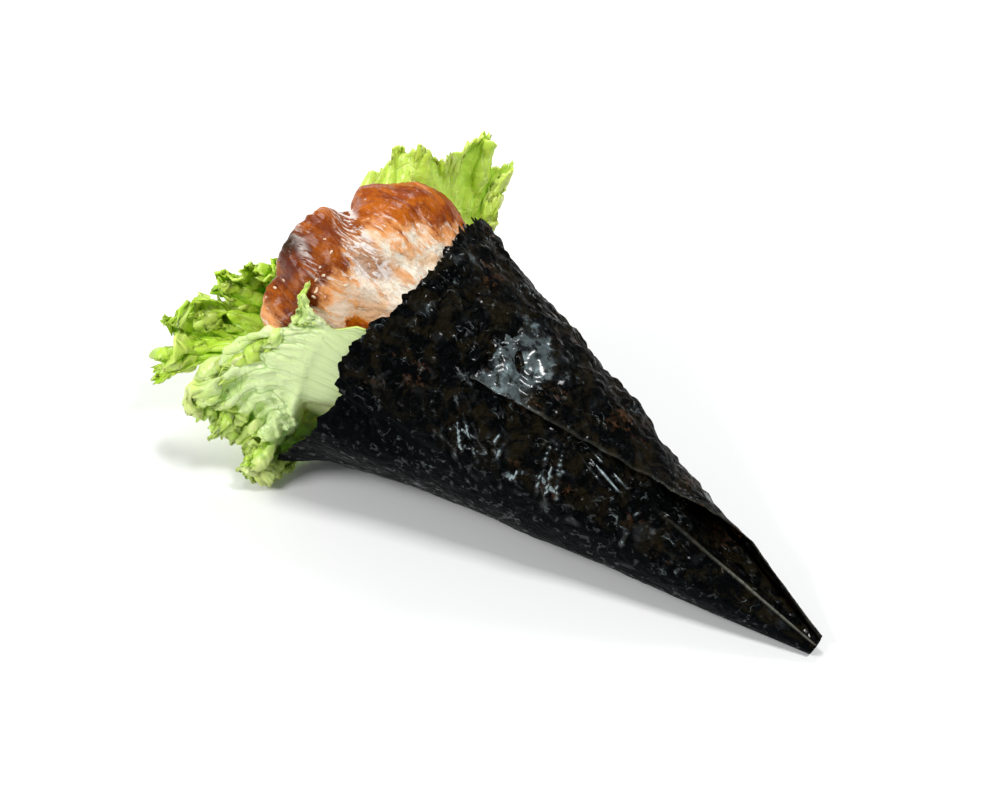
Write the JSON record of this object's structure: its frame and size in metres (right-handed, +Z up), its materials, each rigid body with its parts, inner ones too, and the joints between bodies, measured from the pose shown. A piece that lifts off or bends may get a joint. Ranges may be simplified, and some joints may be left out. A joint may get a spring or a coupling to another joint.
{
  "type": "temaki hand roll",
  "caption": "Hand-rolled cone of dark nori lying on its side, with a glazed grilled eel slice and frilly lettuce leaves fanning out of its mouth.",
  "frame": {"origin": "bottom centre of the whole roll as it lies, on the surface it rests on", "axes": "+Z up; the cone's closed tip points along +X and its filled mouth along -X; -Y is the side with the front lettuce leaf"},
  "size_m": [0.1448, 0.0804, 0.056],
  "materials": {
    "nori": "dried seaweed sheet, black-green and brown, crinkled, with a soft sheen",
    "eel": "grilled fish flesh with a wet orange-brown glaze, pale where the glaze is thin",
    "lettuce_front": "fresh lettuce, pale yellow-green, softly glossy",
    "lettuce_left": "fresh lettuce, mid green, softly glossy",
    "lettuce_right": "fresh lettuce, light green, softly glossy"
  },
  "bodies": {
    "root": {"nori_wrap": "nori", "eel_slice": "eel", "lettuce_front": "lettuce_front", "lettuce_left": "lettuce_left", "lettuce_right": "lettuce_right"}
  },
  "joints": []
}
